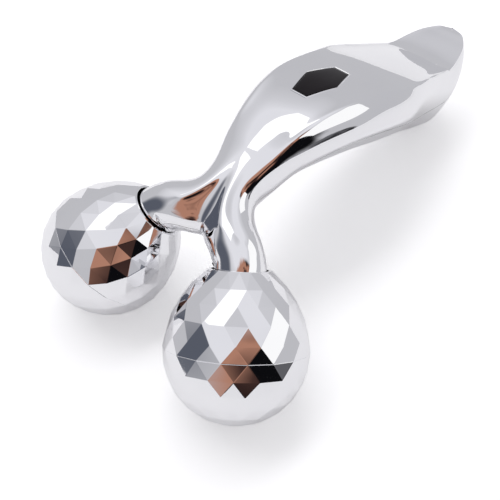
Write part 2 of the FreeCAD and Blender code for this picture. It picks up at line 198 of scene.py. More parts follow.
@dataclass
class HandleSkin:
    """The plated skin of the handle and fork: a cage drawn out of a ring, mirrored and smoothed."""

    arm_diameter: float = 14.9
    arm_reaches: tuple[float, ...] = (13.2, 13.9, 18.5)
    arm_start: float = 23.6
    arm_lead: float = 5.0
    neck_lead: float = 11.0
    neck_slope: float = 20.0
    arm_growth: float = 0.25
    bend_shares: tuple[float, ...] = (0.0, 0.17, 0.34)
    blend_share: float = 0.6
    blend_mix: float = 0.55
    blend_clear: float = 1.0
    axle_tilt: float = 42.0
    axle_toe: float = 38.0
    shoulder: tuple[tuple[float, float], ...] = (
        (31.0, 0.26), (36.0, 0.36), (42.0, 0.4), (60.0, 0.37),
        (81.0, 0.35), (101.0, 0.28), (128.0, 0.24), (160.0, 0.24),
    )
    rise_share: float = 0.45
    low_drops: tuple[float, ...] = (0.74, 0.88, 0.965, 1.0)
    flank_power: float = 1.7
    top_shares: tuple[float, ...] = (0.0, 0.45, 0.8)
    crease_station: int = 3
    parting_station: int = 6
    keel_station: int = 10
    inner_station: int = 13
    stations: int = 16
    levels: int = 3
    fit_rounds: int = 4
    weld: float = 0.01
    smooth_angle: float = 40.0
    soft_span: tuple[float, float] = (15.5, 42.0)
    soft_reach: float = 20.0
    soft_factor: float = 0.5
    soft_rounds: int = 30
    wall: float = 0.8
    parting_gap: float = 0.06
    ring_angles: tuple[float, ...] = (
        -22.5, -3.75, 15.0, 33.75, 52.5, 71.25, 90.0, 118.0, 146.0, 174.0, 202.5,
        225.0, 247.5, 270.0, 292.5, 315.0,
    )
    crotch: tuple[tuple[float, float], ...] = (
        (23.0, 33.0), (16.9, 34.5), (14.9, 38.6), (17.2, 43.9), (23.6, 49.5),
    )
    parting: tuple[tuple[float, float], ...] = (
        (31.0, 44.6), (38.4, 46.5), (44.8, 49.0), (52.0, 51.2), (62.0, 51.2), (72.4, 48.8),
        (86.0, 43.6), (98.0, 37.0), (114.0, 28.5), (134.0, 21.5), (147.0, 22.0), (155.0, 25.5), (160.0, 27.4),
    )
    sections: tuple[Section, ...] = (
        Section(31.0, 8.0, 52.2, 55.0, 34.0, 1.06, 0.7, 0.0),
        Section(36.0, 9.3, 55.7, 58.2, 38.0, 1.14, 0.5, 0.0),
        Section(42.0, 10.2, 59.0, 60.9, 41.2, 1.2, 0.4, 0.0),
        Section(50.0, 11.4, 61.7, 62.8, 41.0, 1.30, 0.2, 0.2),
        Section(60.0, 13.0, 62.2, 62.7, 39.0, 1.35, 0.0, 0.5),
        Section(70.0, 14.3, 60.8, 61.4, 36.2, 1.36, 0.0, 0.75),
        Section(81.0, 15.3, 57.6, 58.4, 31.2, 1.32, 0.0, 0.9),
        Section(93.0, 16.8, 53.2, 54.1, 25.6, 1.21, 0.1, 0.9),
        Section(101.0, 17.0, 50.0, 50.8, 21.2, 1.14, 0.3, 0.5),
        Section(110.0, 16.0, 46.3, 46.9, 15.6, 1.10, 0.4, 0.1),
        Section(119.0, 14.8, 42.5, 43.0, 10.4, 1.10, 0.3, 0.0),
        Section(128.0, 13.8, 38.7, 39.0, 5.8, 1.12, 0.2, 0.1),
        Section(132.0, 13.3, 37.1, 37.4, 4.0, 1.13, 0.1, 0.3),
        Section(134.5, 12.9, 36.45, 36.6, 2.6, 1.15, 0.1, 0.5),
        Section(136.5, 12.6, 36.2, 36.3, 1.7, 1.17, 0.0, 0.7),
        Section(141.0, 11.8, 36.2, 36.2, 0.6, 1.20, 0.0, 0.8),
        Section(147.0, 10.2, 36.4, 36.4, 1.4, 1.20, 0.0, 0.8),
        Section(151.0, 8.5, 36.5, 36.5, 3.8, 1.22, 0.0, 0.8),
        Section(154.0, 6.6, 36.6, 36.6, 7.6, 1.25, 0.0, 0.8),
        Section(156.3, 4.3, 36.6, 36.6, 13.0, 1.40, 0.0, 0.8),
    )
    stern: tuple[float, ...] = (36.5, 36.5, 36.4, 36.1, 34.2, 30.8, 27.2, 24.8, 22.8, 21.6, 20.8)
    stern_place: float = 157.8

    def axle(self) -> Vector:
        """Direction of the left axle, from the ball up to the fork."""
        return PLACE.direction(-self.axle_toe, self.axle_tilt)

    def ring(self, centre: Vector, facing: Vector, growth: float) -> list[Vector]:
        """Lay out one ring of an arm.

        Args:
            centre: The ring's middle, in drawing millimetres.
            facing: The way the arm runs there.
            growth: Height of the ring as a share of its width.

        Returns:
            A point for each station, in drawing millimetres.
        """
        across = Vector((0.0, 0.0, 1.0)).cross(facing).normalized()
        upright = facing.cross(across)
        radius = self.arm_diameter / 2
        points = []
        for angle in self.ring_angles:
            turn = math.radians(angle)
            rise = upright * radius * growth * math.cos(turn)
            points.append(centre + across * radius * math.sin(turn) + rise)
        return points

    def bend(self, share: float) -> tuple[Vector, Vector]:
        """Follow the bend of the left arm.

        Args:
            share: How far along the bend, from the mouth of the ball to the neck.

        Returns:
            The point on the centre line, and the way it runs there, levelled towards the neck.
        """
        axis = self.axle()
        neck = self.sections[0]
        end = Vector((neck.place, 0.0, (neck.crown + neck.keel) / 2))
        slope = math.radians(self.neck_slope)
        start = PLACE.left_ball() + axis * self.arm_start
        poles = (
            start,
            start + axis * self.arm_lead,
            end - Vector((math.cos(slope), 0.0, math.sin(slope))) * self.neck_lead,
            end,
        )
        rest = 1.0 - share
        weights = (rest**3, 3 * rest**2 * share, 3 * rest * share**2, share**3)
        point = sum((pole * weight for pole, weight in zip(poles, weights)), Vector())
        steps = [after - before for before, after in zip(poles, poles[1:])]
        rates = (rest**2, 2 * rest * share, share**2)
        facing = sum((step * rate for step, rate in zip(steps, rates)), Vector())
        facing.z *= rest
        return point, facing.normalized()

    def section_points(self, section: Section) -> list[Vector]:
        """Lay out the left half of a cross section, from its crown to its keel.

        Args:
            section: The cross section.

        Returns:
            A point for each of the first stations, in drawing millimetres.
        """
        points = []
        for share in self.top_shares:
            shallow = 1.0 - share**2
            rise = (1.0 - section.roundness) * shallow + section.roundness * math.sqrt(shallow)
            height = section.crease + rise * (section.crown - section.crease)
            points.append(Vector((section.place, share * section.half_width, height)))
        depth = section.crease - section.keel
        parting = (section.crease - self.along(self.parting, section.place)) / depth
        peak = self.along(self.shoulder, section.place)
        for drop in (0.0, self.rise_share * peak, peak, parting, *self.low_drops):
            across = self.flank(drop, peak, section.bulge) * section.half_width
            points.append(Vector((section.place, across, section.crease - drop * depth)))
        return points

    def flank(self, drop: float, peak: float, bulge: float) -> float:
        """Width of the flank as a share of the width at the crease.

        Args:
            drop: How far down from the crease to the keel, as a share.
            peak: The drop at which the flank is widest.
            bulge: The widest share.

        Returns:
            The width share.
        """
        if drop < peak:
            return 1.0 + (bulge - 1.0) * (1.0 - (1.0 - drop / peak) ** 2)
        below = min((drop - peak) / (1.0 - peak), 1.0)
        return bulge * math.sqrt(1.0 - below**self.flank_power)

    @staticmethod
    def along(rows: tuple[tuple[float, float], ...], place: float) -> float:
        """Read a value between rows of places along the handle and values."""
        for (start, low), (end, high) in zip(rows, rows[1:]):
            if start <= place <= end:
                return low + (place - start) / (end - start) * (high - low)
        return rows[-1][1]

    def arm_rings(self) -> list[list[Vector]]:
        """Rings of the left arm, from its end inside the ball to the blend with the other arm."""
        axis = self.axle()
        rings = [self.ring(PLACE.left_ball() + axis * reach, axis, 1.0) for reach in self.arm_reaches]
        for share in self.bend_shares:
            point, facing = self.bend(share)
            rings.append(self.ring(point, facing, 1.0 + share * self.arm_growth))
        point, facing = self.bend(self.blend_share)
        blend = self.ring(point, facing, 1.0 + self.blend_share * self.arm_growth)
        neck = self.neck_loop()
        for index in range(self.stations):
            if index > self.keel_station:
                blend[index] = rings[-1][index].lerp(neck[index], self.blend_mix)
            blend[index].y = max(blend[index].y, self.blend_clear)
        return rings + [blend, neck]

    def neck_loop(self) -> list[Vector]:
        """The loop where the left arm has become half of the neck, closed along the crotch."""
        crotch = [Vector((x, 0.0, z)) for x, z in self.crotch]
        return self.section_points(self.sections[0]) + crotch

    def drop_crotch(self, cage: bpy.types.Object) -> None:
        """Keep only the outer stations selected, so that the handle goes on without the crotch."""
        mesh = bmesh.from_edit_mesh(cage.data)
        station = mesh.verts.layers.int["station"]
        for edge in mesh.edges:
            numbers = {vert[station] for vert in edge.verts}
            if max(numbers) > self.keel_station or numbers == {0, self.keel_station}:
                edge.select = False
        for vert in mesh.verts:
            vert.select = vert.select and vert[station] <= self.keel_station
        bmesh.update_edit_mesh(cage.data)

    def cage(self) -> bpy.types.Object:
        """Model the left half of the cage, from the arm's end to the stern."""
        cage = Bench.ring("handle_skin", self.stations)
        rings = [PLACE.row(ring) for ring in self.arm_rings()]
        Bench.set_row(cage, rings[0])
        self.close_end(cage)
        Bench.draw_out(cage, rings[1:])
        self.drop_crotch(cage)
        rows = [self.section_points(section) for section in self.sections[1:]]
        rows.append([Vector((self.stern_place, 0.0, height)) for height in self.stern])
        Bench.draw_out(cage, [PLACE.row(row) for row in rows])
        self.mark(cage)
        bpy.ops.object.mode_set(mode="OBJECT")
        return cage

    def close_end(self, cage: bpy.types.Object) -> None:
        """Fill the arm's end and split it along the parting line, then select the ring again.

        Args:
            cage: The cage, in edit mode, with only its first ring.
        """
        bpy.ops.mesh.edge_face_add()
        bpy.ops.mesh.select_all(action="DESELECT")
        bpy.ops.mesh.select_mode(type="VERT")
        mesh = bmesh.from_edit_mesh(cage.data)
        station = mesh.verts.layers.int["station"]
        for vert in mesh.verts:
            vert.select_set(vert[station] in (self.parting_station, self.inner_station))
        bmesh.update_edit_mesh(cage.data)
        bpy.ops.mesh.vert_connect_path()
        Bench.pick_edges(cage, lambda edge: edge.is_boundary)

    def mark(self, cage: bpy.types.Object) -> None:
        """Mark the creases of the handle and the parting line on the cage.

        Args:
            cage: The cage, in edit mode.
        """
        mesh = bmesh.from_edit_mesh(cage.data)
        station = mesh.verts.layers.int["station"]
        crease = mesh.edges.layers.float.get("crease_edge") or mesh.edges.layers.float.new("crease_edge")
        zero = PLACE.at(0.0, 0.0, 0.0).x
        parted = {self.parting_station, self.inner_station}
        for edge in mesh.edges:
            numbers = {vert[station] for vert in edge.verts}
            places = [(vert.co.x - zero) / MM for vert in edge.verts]
            if numbers == {self.crease_station}:
                edge[crease] = self.sharpness(sum(places) / 2)
            if numbers <= parted:
                edge.seam = True
        bmesh.update_edit_mesh(cage.data)

    def sharpness(self, place: float) -> float:
        """How sharp the crease is at a place along the handle."""
        rows = tuple((section.place, section.sharpness) for section in self.sections)
        return self.along(rows, place) if place >= rows[0][0] else 0.0

    def fit(self, cage: bpy.types.Object) -> None:
        """Move the cage until the smooth skin passes through the drawn points.

        Args:
            cage: The cage, with its modifiers.
        """
        wanted = [vert.co.copy() for vert in cage.data.vertices]
        for _ in range(self.fit_rounds):
            graph = bpy.context.evaluated_depsgraph_get()
            smooth = cage.evaluated_get(graph).to_mesh()
            found = [smooth.vertices[index].co.copy() for index in range(len(wanted))]
            cage.evaluated_get(graph).to_mesh_clear()
            for vert, goal, now in zip(cage.data.vertices, wanted, found):
                vert.co += goal - now
            cage.data.update()

    def build(self) -> list[bpy.types.Object]:
        """Make the upper and lower skins.

        Returns:
            The upper skin and the lower skin.
        """
        cage = self.cage()
        Bench.take(cage)
        mirror = Bench.modifier("MIRROR")
        mirror.use_axis = (False, True, False)
        mirror.merge_threshold = self.weld * MM
        smooth = Bench.modifier("SUBSURF")
        smooth.levels = self.levels
        smooth.render_levels = self.levels
        self.fit(cage)
        Bench.apply(cage)
        return self.part(cage)

    def part(self, skin: bpy.types.Object) -> list[bpy.types.Object]:
        """Split the skin along its parting line and give both shells a wall.

        Args:
            skin: The closed skin.

        Returns:
            The upper skin and the lower skin.
        """
        Bench.take(skin)
        bpy.ops.object.mode_set(mode="EDIT")
        bpy.ops.mesh.select_mode(type="EDGE")
        bpy.ops.mesh.select_all(action="SELECT")
        bpy.ops.mesh.normals_make_consistent(inside=False)
        self.soften_fork(skin)
        Bench.pick_edges(skin, lambda edge: edge.seam)
        bpy.ops.mesh.edge_split(type="EDGE")
        bpy.ops.mesh.select_all(action="SELECT")
        bpy.ops.mesh.separate(type="LOOSE")
        bpy.ops.object.mode_set(mode="OBJECT")
        shells = [obj for obj in bpy.context.selected_objects if obj.type == "MESH"]
        shells.sort(key=lambda obj: -max(vert.co.z for vert in obj.data.vertices))
        for shell, name, push in zip(shells, ("upper_skin", "lower_skin"), (1.0, -1.0)):
            shell.name = name
            self.open_gap(shell, push * self.parting_gap * MM)
            Bench.take(shell)
            wall = Bench.modifier("SOLIDIFY")
            wall.thickness = self.wall * MM
            wall.offset = -1.0
            Bench.apply(shell)
            bpy.ops.object.shade_smooth_by_angle(angle=math.radians(self.smooth_angle))
        return shells

    def soften_fork(self, skin: bpy.types.Object) -> None:
        """Smooth the skin where the arms run together.

        Args:
            skin: The closed skin, in edit mode.
        """
        bpy.ops.mesh.select_all(action="DESELECT")
        bpy.ops.mesh.select_mode(type="VERT")
        mesh = bmesh.from_edit_mesh(skin.data)
        front, rear = (PLACE.at(place, 0.0, 0.0).x for place in self.soft_span)
        for vert in mesh.verts:
            vert.select_set(front < vert.co.x < rear and abs(vert.co.y) < self.soft_reach * MM)
        bmesh.update_edit_mesh(skin.data)
        bpy.ops.mesh.vertices_smooth(factor=self.soft_factor, repeat=self.soft_rounds)

    @staticmethod
    def open_gap(shell: bpy.types.Object, push: float) -> None:
        """Draw the rim of a shell back from the parting line.

        Args:
            shell: An open shell.
            push: How far its rim moves up, in metres.
        """
        Bench.take(shell)
        bpy.ops.object.mode_set(mode="EDIT")
        Bench.pick_edges(shell, lambda edge: edge.is_boundary)
        bpy.ops.transform.translate(value=(0.0, 0.0, push))
        bpy.ops.object.mode_set(mode="OBJECT")


@dataclass(frozen=True)
class SolarPane:
    """The dark six-sided pane in the top of the handle, and the bright edge of the plating round it."""

    place: float = 69.1
    length: float = 21.5
    width: float = 11.4
    end_width: float = 5.4
    steps: int = 8
    pane_rows: tuple[tuple[float, float], ...] = (
        (1.0, 0.01), (1.0, 0.05), (0.955, 0.06), (0.93, 0.16),
        (0.9, 0.18), (0.6, 0.18), (0.3, 0.18), (0.04, 0.18),
    )
    rim_rows: tuple[tuple[float, float], ...] = ((1.075, -0.02), (1.065, 0.1), (1.02, 0.16), (1.005, 0.02))
    probe_height: float = 90.0
    smooth_angle: float = 25.0

    def corners(self) -> list[tuple[float, float]]:
        """The six corners about the pane's middle, in millimetres along and across."""
        half, end, wide = self.length / 2, self.end_width / 2, self.width / 2
        return [(-half, -end), (0.0, -wide), (half, -end), (half, end), (0.0, wide), (-half, end)]

    def outline(self, scale: float) -> list[tuple[float, float]]:
        """Walk round the pane.

        Args:
            scale: Size of the walk as a share of the pane.

        Returns:
            Points in drawing millimetres along and across.
        """
        corners = self.corners()
        points = []
        for (start_x, start_y), (end_x, end_y) in zip(corners, corners[1:] + corners[:1]):
            for step in range(self.steps):
                share = step / self.steps
                across = start_y + share * (end_y - start_y)
                points.append((self.place + scale * (start_x + share * (end_x - start_x)), scale * across))
        return points

    def row(self, skin: bpy.types.Object, scale: float, lift: float) -> list[Vector]:
        """Lay one walk round the pane on the skin.

        Args:
            skin: The plated skin that carries the pane.
            scale: Size of the walk as a share of the pane.
            lift: Height over the skin, in millimetres.

        Returns:
            Points in the part's frame, in metres.
        """
        points = []
        for x, y in self.outline(scale):
            found, where, _, _ = skin.ray_cast(PLACE.at(x, y, self.probe_height), Vector((0.0, 0.0, -1.0)))
            if not found:
                raise ValueError("the pane misses the skin")
            points.append(where + Vector((0.0, 0.0, lift * MM)))
        return points

    def ring_piece(self, name: str, rows: list[list[Vector]], closed: bool) -> bpy.types.Object:
        """Draw a ring out through rows of points.

        Args:
            name: Name of the piece.
            rows: Points of each row, in metres.
            closed: Whether the first and the last row are filled, or else joined.

        Returns:
            The piece.
        """
        piece = Bench.ring(name, len(rows[0]))
        Bench.set_row(piece, rows[0])
        Bench.draw_out(piece, rows[1:])
        self.close(piece, closed)
        return piece

    def close(self, piece: bpy.types.Object, closed: bool) -> None:
        """Fill or join the open rims of a piece in edit mode, and smooth it.

        Args:
            piece: The piece.
            closed: True fills both rims, False joins them to each other.
        """
        Bench.pick_edges(piece, lambda edge: edge.is_boundary)
        if closed:
            bpy.ops.mesh.fill_holes(sides=0)
        else:
            bpy.ops.mesh.bridge_edge_loops()
        bpy.ops.mesh.select_all(action="SELECT")
        bpy.ops.mesh.normals_make_consistent(inside=False)
        bpy.ops.object.mode_set(mode="OBJECT")
        bpy.ops.object.shade_smooth_by_angle(angle=math.radians(self.smooth_angle))

    def build(self, skin: bpy.types.Object) -> tuple[bpy.types.Object, bpy.types.Object]:
        """Make the pane and its bright edge.

        Args:
            skin: The plated skin that carries them.

        Returns:
            The pane and the edge.
        """
        pane = self.ring_piece("window_pane", [self.row(skin, *row) for row in self.pane_rows], True)
        rim = self.ring_piece("window_rim", [self.row(skin, *row) for row in self.rim_rows], False)
        return pane, rim


@dataclass(frozen=True)
class BallShell:
    """The faceted half shells of a roller, with the edges of their facets slightly rounded."""

    side: Side
    edge_width: float = 0.1
    edge_steps: int = 2
    edge_angle: float = 6.0
    weld: float = 0.002
    flat_angle: float = 0.5

    def build(self) -> list[tuple[bpy.types.Object, str]]:
        """Make both half shells.

        Returns:
            Each half shell, with the node that it stands for.
        """
        halves = []
        for half in ("ball_outer_half", "ball_inner_half"):
            node = f"{self.side.value}_{half}"
            halves.append((self.rounded_copy(node), node))
        return halves

    def rounded_copy(self, node: str) -> bpy.types.Object:
        """Copy a half shell, join its triangles and round its edges.

        Args:
            node: Name of the half shell's node.

        Returns:
            The copy.
        """
        source = frame["nodes"][node]
        copy = bpy.data.objects.new(f"{node}_skin", source.data.copy())
        bpy.context.scene.collection.objects.link(copy)
        Bench.take(copy)
        bpy.ops.object.mode_set(mode="EDIT")
        bpy.ops.mesh.select_all(action="SELECT")
        bpy.ops.mesh.remove_doubles(threshold=self.weld * MM)
        bpy.ops.mesh.dissolve_limited(angle_limit=math.radians(self.flat_angle))
        bpy.ops.object.mode_set(mode="OBJECT")
        edges = Bench.modifier("BEVEL")
        edges.width = self.edge_width * MM
        edges.segments = self.edge_steps
        edges.limit_method = "ANGLE"
        edges.angle_limit = math.radians(self.edge_angle)
        Bench.apply(copy)
        bpy.ops.object.shade_flat()
        return copy


class Effect(Enum):
    """Surface effects that several finishes share."""

    SMUDGE = "smudge"
    TONE = "tone"
    RIPPLE = "ripple"


class Effects:
    """Builds each shared effect once, as a node group."""

    patch_range: tuple[float, float] = (0.45, 0.75)

    def __init__(self) -> None:
        """Make the groups."""
        self.groups = {
            Effect.SMUDGE: self.smudge(),
            Effect.TONE: self.tone(),
            Effect.RIPPLE: self.ripple(),
        }

    @staticmethod
    def group(effect: Effect, inputs: dict[str, str], output: tuple[str, str]) -> bpy.types.NodeTree:
        """Start a group that takes a Vector and a Scale.

        Args:
            effect: The effect it holds.
            inputs: Names and kinds of its further inputs.
            output: Name and kind of its output.

        Returns:
            The group, with its in and out nodes.
        """
        tree = bpy.data.node_groups.new(effect.value, "ShaderNodeTree")
        kinds = {"Vector": "NodeSocketVector", "Scale": "NodeSocketFloat"} | inputs
        for name, kind in kinds.items():
            tree.interface.new_socket(name, in_out="INPUT", socket_type=kind)
        tree.interface.new_socket(output[0], in_out="OUTPUT", socket_type=output[1])
        tree.nodes.new("NodeGroupInput")
        tree.nodes.new("NodeGroupOutput")
        return tree

    @staticmethod
    def noise(tree: bpy.types.NodeTree, detail: float, distortion: float) -> bpy.types.Node:
        """Add a noise that takes the group's Vector and Scale."""
        entry = tree.nodes["Group Input"]
        noise = tree.nodes.new("ShaderNodeTexNoise")
        noise.inputs["Detail"].default_value = detail
        noise.inputs["Distortion"].default_value = distortion
        tree.links.new(entry.outputs["Vector"], noise.inputs["Vector"])
        tree.links.new(entry.outputs["Scale"], noise.inputs["Scale"])
        return noise

    def smudge(self) -> bpy.types.NodeTree:
        """Faint wiped patches, put out as a roughness between two bounds."""
        bounds = {"Low": "NodeSocketFloat", "High": "NodeSocketFloat"}
        tree = self.group(Effect.SMUDGE, bounds, ("Roughness", "NodeSocketFloat"))
        spread = tree.nodes.new("ShaderNodeMapRange")
        spread.interpolation_type = "SMOOTHSTEP"
        spread.inputs["From Min"].default_value, spread.inputs["From Max"].default_value = self.patch_range
        entry = tree.nodes["Group Input"]
        noise = self.noise(tree, detail=5.0, distortion=0.6)
        tree.links.new(noise.outputs["Fac"], spread.inputs["Value"])
        tree.links.new(entry.outputs["Low"], spread.inputs["To Min"])
        tree.links.new(entry.outputs["High"], spread.inputs["To Max"])
        tree.links.new(spread.outputs["Result"], tree.nodes["Group Output"].inputs["Roughness"])
        return tree

    def tone(self) -> bpy.types.NodeTree:
        """Soft drifts between a clean colour and an aged one."""
        colours = {"Clean": "NodeSocketColor", "Aged": "NodeSocketColor"}
        tree = self.group(Effect.TONE, colours, ("Color", "NodeSocketColor"))
        blend = tree.nodes.new("ShaderNodeMix")
        blend.data_type = "RGBA"
        entry = tree.nodes["Group Input"]
        noise = self.noise(tree, detail=3.0, distortion=0.2)
        tree.links.new(noise.outputs["Fac"], blend.inputs["Factor"])
        tree.links.new(entry.outputs["Clean"], blend.inputs["A"])
        tree.links.new(entry.outputs["Aged"], blend.inputs["B"])
        tree.links.new(blend.outputs["Result"], tree.nodes["Group Output"].inputs["Color"])
        return tree

    def ripple(self) -> bpy.types.NodeTree:
        """A slight unevenness, put out as a height."""
        tree = self.group(Effect.RIPPLE, {}, ("Height", "NodeSocketFloat"))
        noise = self.noise(tree, detail=2.0, distortion=0.0)
        tree.links.new(noise.outputs["Fac"], tree.nodes["Group Output"].inputs["Height"])
        return tree

    def use(self, made: bpy.types.Material, effect: Effect, values: dict[str, object]) -> bpy.types.Node:
        """Place an effect in a material, on its Object coordinates.

        Args:
            made: The material.
            effect: The effect.
            values: Values of the effect's own inputs.

        Returns:
            The group's node.
        """
        nodes = made.node_tree.nodes
        place = nodes.get("Texture Coordinate") or nodes.new("ShaderNodeTexCoord")
        node = nodes.new("ShaderNodeGroup")
        node.node_tree = self.groups[effect]
        made.node_tree.links.new(place.outputs["Object"], node.inputs["Vector"])
        for name, value in values.items():
            node.inputs[name].default_value = value
        return node


@dataclass(frozen=True)
class Finish:
    """The finish of one of the record's material slots."""

    slot: str
    clean: tuple[float, float, float]
    aged: tuple[float, float, float]
    metallic: float
    smooth: float
    dull: float
    tone_scale: float = 60.0
    smudge_scale: float = 90.0
    ripple_scale: float = 120.0
    ripple_depth: float = 0.02
    ripple_strength: float = 0.1
    specular: float = 0.5

    def material(self, effects: Effects) -> bpy.types.Material:
        """Make the finish as a material.

        Args:
            effects: The shared effects.

        Returns:
            The material.
        """
        made = bpy.data.materials.new(self.slot)
        made.use_nodes = True
        links = made.node_tree.links
        shader = made.node_tree.nodes["Principled BSDF"]
        shader.inputs["Metallic"].default_value = self.metallic
        shader.inputs["Specular IOR Level"].default_value = self.specular
        colours = {"Scale": self.tone_scale, "Clean": (*self.clean, 1.0), "Aged": (*self.aged, 1.0)}
        tone = effects.use(made, Effect.TONE, colours)
        links.new(tone.outputs["Color"], shader.inputs["Base Color"])
        bounds = {"Scale": self.smudge_scale, "Low": self.smooth, "High": self.dull}
        smudge = effects.use(made, Effect.SMUDGE, bounds)
        links.new(smudge.outputs["Roughness"], shader.inputs["Roughness"])
        ripple = effects.use(made, Effect.RIPPLE, {"Scale": self.ripple_scale})
        bump = made.node_tree.nodes.new("ShaderNodeBump")
        bump.inputs["Strength"].default_value = self.ripple_strength
        bump.inputs["Distance"].default_value = self.ripple_depth * MM
        links.new(ripple.outputs["Height"], bump.inputs["Height"])
        links.new(bump.outputs["Normal"], shader.inputs["Normal"])
        return made


FINISHES = (
    Finish("handle_plating", (0.94, 0.94, 0.95), (0.88, 0.88, 0.9), 1.0, 0.02, 0.05, ripple_depth=0.05),
    Finish("ball_plating", (0.94, 0.94, 0.95), (0.88, 0.88, 0.9), 1.0, 0.015, 0.045, ripple_scale=200.0),
    Finish("window", (0.004, 0.003, 0.004), (0.009, 0.006, 0.008), 0.0, 0.03, 0.09, specular=0.12),
    Finish("cell", (0.02, 0.02, 0.05), (0.03, 0.03, 0.07), 0.0, 0.25, 0.4),
    Finish("lead_cover", (0.3, 0.03, 0.03), (0.22, 0.02, 0.02), 0.0, 0.45, 0.6, ripple_strength=0.3),
    Finish("hub_plastic", (0.5, 0.5, 0.5), (0.42, 0.42, 0.43), 0.0, 0.45, 0.6, ripple_strength=0.3),
    Finish("brass_parts", (0.8, 0.6, 0.3), (0.66, 0.48, 0.24), 1.0, 0.22, 0.4),
    Finish("steel_parts", (0.6, 0.6, 0.62), (0.5, 0.5, 0.52), 1.0, 0.2, 0.35),
)


@dataclass(frozen=True)
class Card:
    """A card of the studio that is seen only in the plating, by where it stands round the part.

    The point that it faces is in drawing millimetres, its angles are in degrees and the rest is in metres.
    A card with a foot stands with its lower edge at that height.
    """

    name: str
    about: tuple[float, float, float]
    turn: float
    rise: float
    reach: float
    size: tuple[float, float]
    foot: float | None = None

    def way(self) -> Vector:
        """The direction that it is seen in from the part."""
        return PLACE.direction(self.turn, self.rise)

    def middle(self) -> Vector:
        """The card's middle, in metres."""
        place = PLACE.at(*self.about) + self.way() * self.reach
        if self.foot is not None:
            place.z = self.size[1] / 2 + self.foot
        return place

    def build(self, material: bpy.types.Material) -> None:
        """Set up the card with what it shows."""
        Bench.clear()
        bpy.ops.mesh.primitive_plane_add(size=1.0)
        card = bpy.context.object
        card.name = self.name
        card.scale = (*self.size, 1.0)
        card.location = self.middle()
        card.rotation_euler = (-self.way()).to_track_quat("Z", "Y").to_euler()
        card.visible_camera = False
        card.visible_diffuse = False
        card.visible_shadow = False
        card.data.materials.append(material)


@dataclass(frozen=True)
class Mottling:
    """Patches of three shades that get darker towards one corner, with a soft uneven edge."""

    shades: tuple[tuple[float, tuple[float, float, float]], ...]
    scale: float = 4.0
    detail: float = 3.0
    wobble: float = 0.12
    edge: tuple[float, float] = (0.38, 0.5)
    fade: float = 0.5
    slant: float = 0.4
    level: float = 0.06

    def material(self) -> bpy.types.Material:
        """Make the mottling as a glow that fades out at the edge."""
        made = bpy.data.materials.new("dark_card")
        made.use_nodes = True
        nodes, links = made.node_tree.nodes, made.node_tree.links
        nodes.remove(nodes["Principled BSDF"])
        place = nodes.new("ShaderNodeTexCoord")
        noise = nodes.new("ShaderNodeTexNoise")
        noise.inputs["Scale"].default_value = self.scale
        noise.inputs["Detail"].default_value = self.detail
        links.new(place.outputs["Object"], noise.inputs["Vector"])
        glow = nodes.new("ShaderNodeEmission")
        links.new(self.colour(made), glow.inputs["Color"])
        clear = nodes.new("ShaderNodeBsdfTransparent")
        mix = nodes.new("ShaderNodeMixShader")
        links.new(self.rim(made), mix.inputs["Fac"])
        links.new(glow.outputs["Emission"], mix.inputs[1])
        links.new(clear.outputs["BSDF"], mix.inputs[2])
        links.new(mix.outputs["Shader"], nodes["Material Output"].inputs["Surface"])
        return made

    def rim(self, made: bpy.types.Material) -> bpy.types.NodeSocket:
        """Add the soft uneven edge.

        Args:
            made: The material, with its coordinates and its noise.

        Returns:
            The socket that goes from 0 inside to 1 outside.
        """
        nodes, links = made.node_tree.nodes, made.node_tree.links
        place, noise = nodes["Texture Coordinate"], nodes["Noise Texture"]
        wobble = nodes.new("ShaderNodeMixRGB")
        wobble.blend_type = "LINEAR_LIGHT"
        wobble.inputs["Fac"].default_value = self.wobble
        links.new(place.outputs["Object"], wobble.inputs["Color1"])
        links.new(noise.outputs["Color"], wobble.inputs["Color2"])
        reach = nodes.new("ShaderNodeVectorMath")
        reach.operation = "LENGTH"
        links.new(wobble.outputs["Color"], reach.inputs[0])
        edge = nodes.new("ShaderNodeMapRange")
        edge.interpolation_type = "SMOOTHSTEP"
        edge.inputs["From Min"].default_value, edge.inputs["From Max"].default_value = self.edge
        links.new(reach.outputs["Value"], edge.inputs["Value"])
        return edge.outputs["Result"]

    def colour(self, made: bpy.types.Material) -> bpy.types.NodeSocket:
        """Add the shades.

        Args:
            made: The material, with its coordinates and its noise.

        Returns:
            The socket with the colour.
        """
        nodes, links = made.node_tree.nodes, made.node_tree.links
        place, noise = nodes["Texture Coordinate"], nodes["Noise Texture"]
        lift = nodes.new("ShaderNodeVectorMath")
        lift.operation = "DOT_PRODUCT"
        lift.inputs[1].default_value = (self.slant, self.fade, 0.0)
        links.new(place.outputs["Object"], lift.inputs[0])
        shade = nodes.new("ShaderNodeMath")
        shade.operation = "ADD"
        shade.inputs[1].default_value = self.fade * self.level
        links.new(lift.outputs["Value"], shade.inputs[0])
        patches = nodes.new("ShaderNodeMath")
        patches.operation = "ADD"
        links.new(shade.outputs["Value"], patches.inputs[0])
        links.new(noise.outputs["Fac"], patches.inputs[1])
        ramp = nodes.new("ShaderNodeValToRGB")
        steps = ramp.color_ramp.elements
        steps[0].position, steps[1].position = self.shades[0][0], self.shades[-1][0]
        steps.new(self.shades[1][0])
        for step, (_, colour) in zip(steps, self.shades):
            step.color = (*colour, 1.0)
        links.new(patches.outputs["Value"], ramp.inputs["Fac"])
        return ramp.outputs["Color"]


